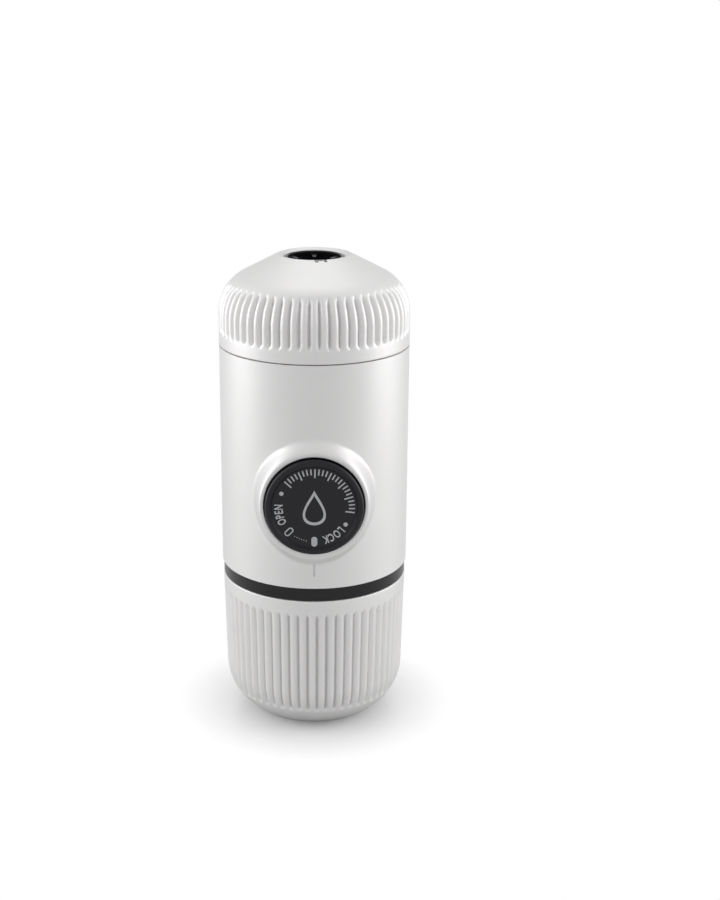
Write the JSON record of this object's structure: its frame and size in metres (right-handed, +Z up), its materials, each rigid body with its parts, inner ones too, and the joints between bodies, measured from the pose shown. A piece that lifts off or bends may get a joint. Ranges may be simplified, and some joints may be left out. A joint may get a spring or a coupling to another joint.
{
  "type": "handheld espresso maker",
  "caption": "Pocket espresso maker: a ribbed water tank, a body with a push-pump knob, and a ribbed brewing head with a round spout, screwed together end to end.",
  "frame": {"origin": "centre of the flat base that the tank stands on", "axes": "+Z up along the axis of the three screwed pieces, -Y towards the pump knob, +X to the right seen from the knob"},
  "size_m": [0.062, 0.0665, 0.156],
  "materials": {
    "white_shell": "satin moulded white",
    "black_moulding": "satin moulded black",
    "black_band": "semi-gloss black ring",
    "black_knob": "satin black",
    "knob_disc": "satin black with pale printed marks",
    "silicone": "food-grade silicone, grey",
    "steel": "stainless steel",
    "grey_moulding": "satin moulded grey",
    "clear_tube": "milky silicone hose"
  },
  "bodies": {
    "tank": {"tank_shell": "white_shell", "tank_liner": "black_moulding"},
    "tank_gasket": {"tank_seal": "silicone"},
    "strainer": {"inlet_strainer": "black_moulding"},
    "main_body": {"collar": "black_moulding", "grip_band": "black_band", "collar_screws": "steel", "air_valve": "silicone", "body_shell": "white_shell", "chassis": "black_moulding", "brew_neck": "black_moulding", "neck_screws": "steel", "knob_guide": "black_moulding", "guide_screws": "steel", "pump_cylinder": "grey_moulding", "pump_screws": "steel", "inlet_valve": "silicone", "outlet_valve": "silicone", "suction_tube": "clear_tube", "riser_tube": "clear_tube", "return_spring": "steel", "shower_plate": "steel", "brew_seal": "silicone"},
    "plunger": {"piston_rod": "steel", "piston": "grey_moulding", "piston_seal": "silicone", "knob_screw": "steel"},
    "knob": {"knob_cup": "black_knob", "knob_face": "knob_disc"},
    "basket": {"filter_basket": "steel"},
    "head_ring": {"head_gasket": "silicone"},
    "head": {"head_insert": "black_moulding", "head_screen": "steel", "head_shell": "white_shell", "outlet_nozzle": "black_moulding"}
  },
  "joints": [
    {"name": "body_lift", "type": "slide", "parent": "tank", "child": "tank_gasket", "axis": [0, 0, 1], "range_m": [0, 0.06]},
    {"name": "body_rise", "type": "slide", "parent": "tank_gasket", "child": "strainer", "axis": [0, 0, 1], "range_m": [0, 0.005]},
    {"name": "body_turn", "type": "hinge", "parent": "strainer", "child": "main_body", "pos_m": [0, 0, 0.0484], "axis": [0, 0, 1], "range_deg": [0, 360]},
    {"name": "pump_stroke", "type": "slide", "parent": "main_body", "child": "plunger", "axis": [0, -1, 0], "range_m": [0, 0.018], "deforming": ["return_spring"]},
    {"name": "knob_twist", "type": "hinge", "parent": "plunger", "child": "knob", "pos_m": [0, -0.0347, 0.082], "axis": [0, -1, 0], "range_deg": [0, 45]},
    {"name": "basket_lift", "type": "slide", "parent": "main_body", "child": "basket", "axis": [0, 0, 1], "range_m": [0, 0.04]},
    {"name": "head_rise", "type": "slide", "parent": "basket", "child": "head_ring", "axis": [0, 0, 1], "range_m": [0, 0.005]},
    {"name": "head_turn", "type": "hinge", "parent": "head_ring", "child": "head", "pos_m": [0, 0, 0.127], "axis": [0, 0, 1], "range_deg": [0, 360]}
  ],
  "couplings": [
    {"joint": "body_rise", "follows": "body_turn", "m_per_rad": 0.00079577},
    {"joint": "head_rise", "follows": "head_turn", "m_per_rad": 0.00079577}
  ]
}
